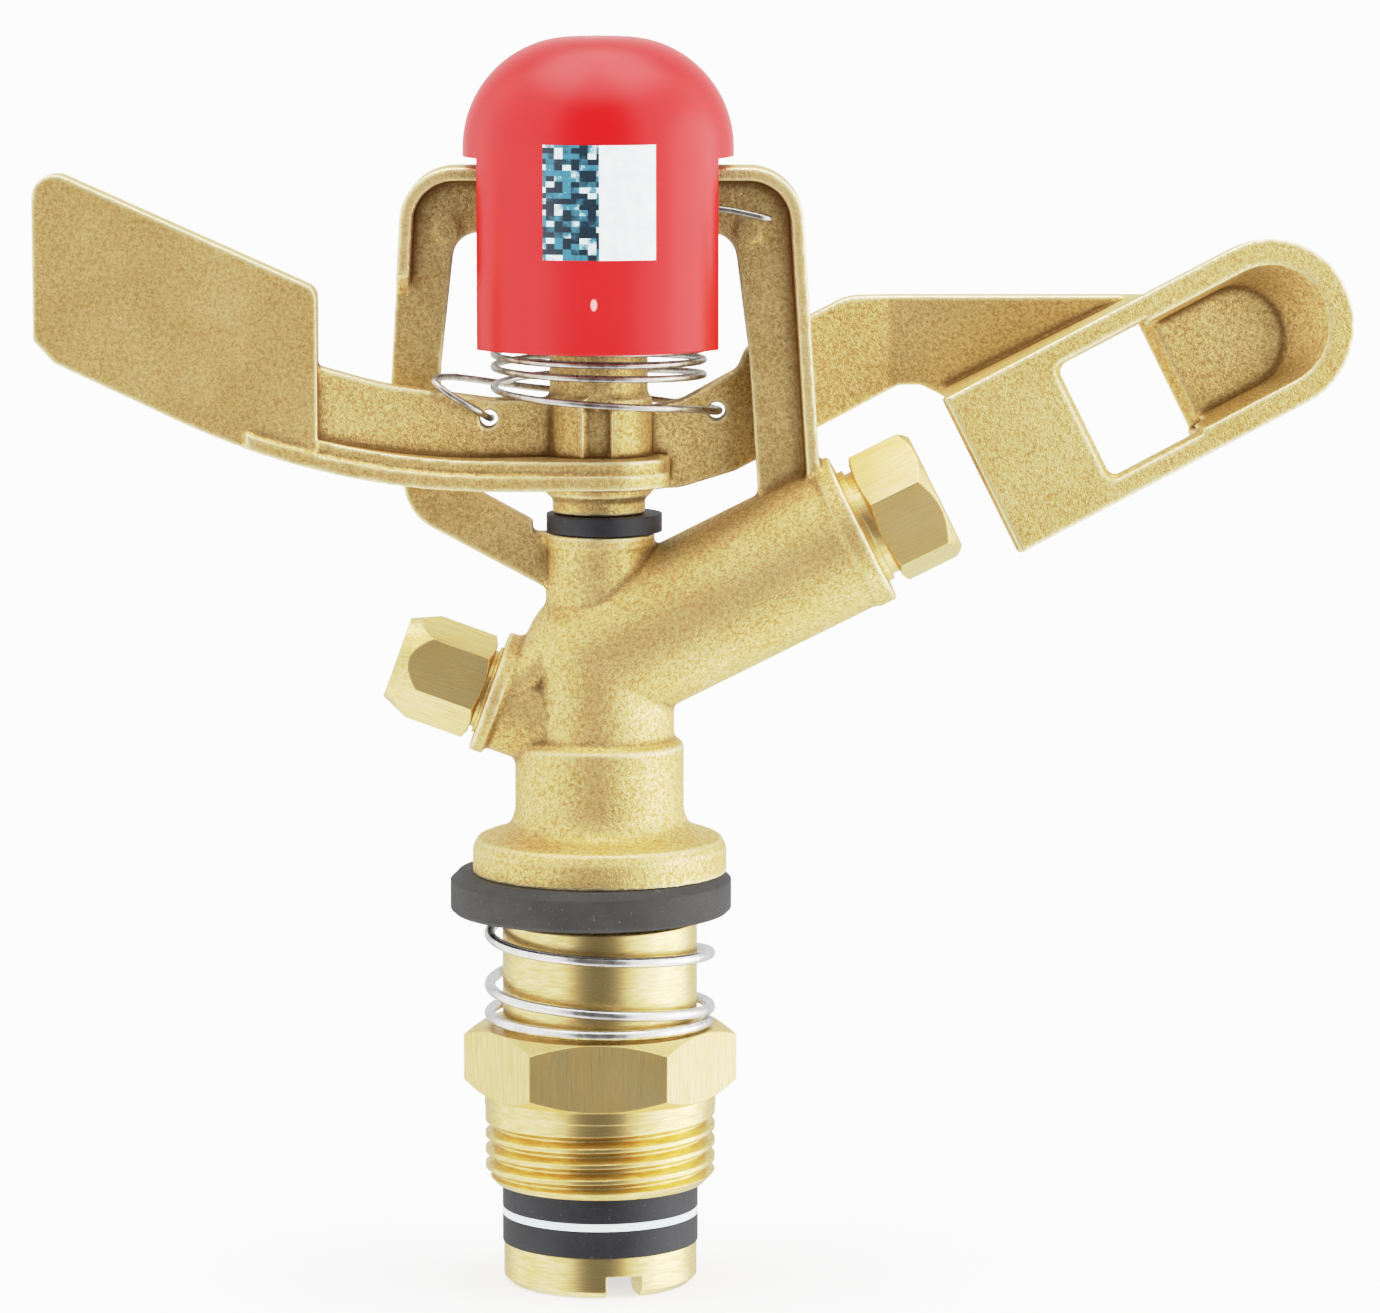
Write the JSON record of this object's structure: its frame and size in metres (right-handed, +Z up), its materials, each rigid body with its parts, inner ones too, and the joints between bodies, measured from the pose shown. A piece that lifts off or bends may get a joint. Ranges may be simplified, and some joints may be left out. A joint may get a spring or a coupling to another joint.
{
  "type": "impact sprinkler",
  "caption": "Brass two-nozzle impact sprinkler with a male threaded inlet, a rotating head, a spring-returned swinging arm and a red spring cap.",
  "frame": {"origin": "on the spin axis, at the underside of the inlet hexagon, where the fitting that it screws into ends", "axes": "+Z up along the spin axis, +X the way the main jet leaves, -Y the side on which the arm's counterweight passes the bridge"},
  "size_m": [0.1484, 0.032, 0.1421],
  "materials": {
    "machined_brass": "machined",
    "cast_brass": "as cast, satin",
    "spring_steel": "drawn wire",
    "stainless": "turned",
    "dust_cap_plastic": "matte",
    "washer_rubber": "matte",
    "ptfe": "satin",
    "straightener_plastic": "moulded",
    "bush_plastic": "moulded",
    "red_plastic": "semi-gloss",
    "label": "printed film"
  },
  "bodies": {
    "inlet": {"bearing_nipple": "machined_brass", "bearing_spring": "spring_steel"},
    "thrust_stack": {"dust_cap": "dust_cap_plastic", "upper_rubber_washer": "washer_rubber", "ptfe_washer": "ptfe"},
    "head": {"bearing_sleeve": "machined_brass", "lower_rubber_washer": "washer_rubber", "body_casting": "cast_brass", "main_nozzle": "machined_brass", "rear_nozzle": "machined_brass", "stream_straightener": "straightener_plastic", "fulcrum_pin": "stainless", "arm_lower_washer": "washer_rubber", "arm_upper_washer": "ptfe", "arm_spring": "spring_steel"},
    "arm": {"arm_casting": "cast_brass", "arm_lower_bushing": "bush_plastic", "arm_upper_bushing": "bush_plastic"},
    "cap": {"spring_cap": "red_plastic", "cap_label": "label"}
  },
  "joints": [
    {"name": "head_press", "type": "slide", "parent": "inlet", "child": "thrust_stack", "axis": [0, 0, 1], "range_m": [-0.003, 0], "stiffness_N_per_m": 2500, "springref_m": 0.004, "deforming": ["bearing_spring"]},
    {"name": "head_spin", "type": "hinge", "parent": "thrust_stack", "child": "head", "pos_m": [0, 0, 0], "axis": [0, 0, 1], "continuous": true},
    {"name": "arm_swing", "type": "hinge", "parent": "head", "child": "arm", "pos_m": [0, 0, 0.08], "axis": [0, 0, 1], "range_deg": [0, 140], "stiffness_Nm_per_rad": 0.013, "springref_deg": -57.3, "deforming": ["arm_spring"]},
    {"name": "cap_lift", "type": "slide", "parent": "head", "child": "cap", "axis": [0, 0, 1], "range_m": [0, 0.04]}
  ]
}
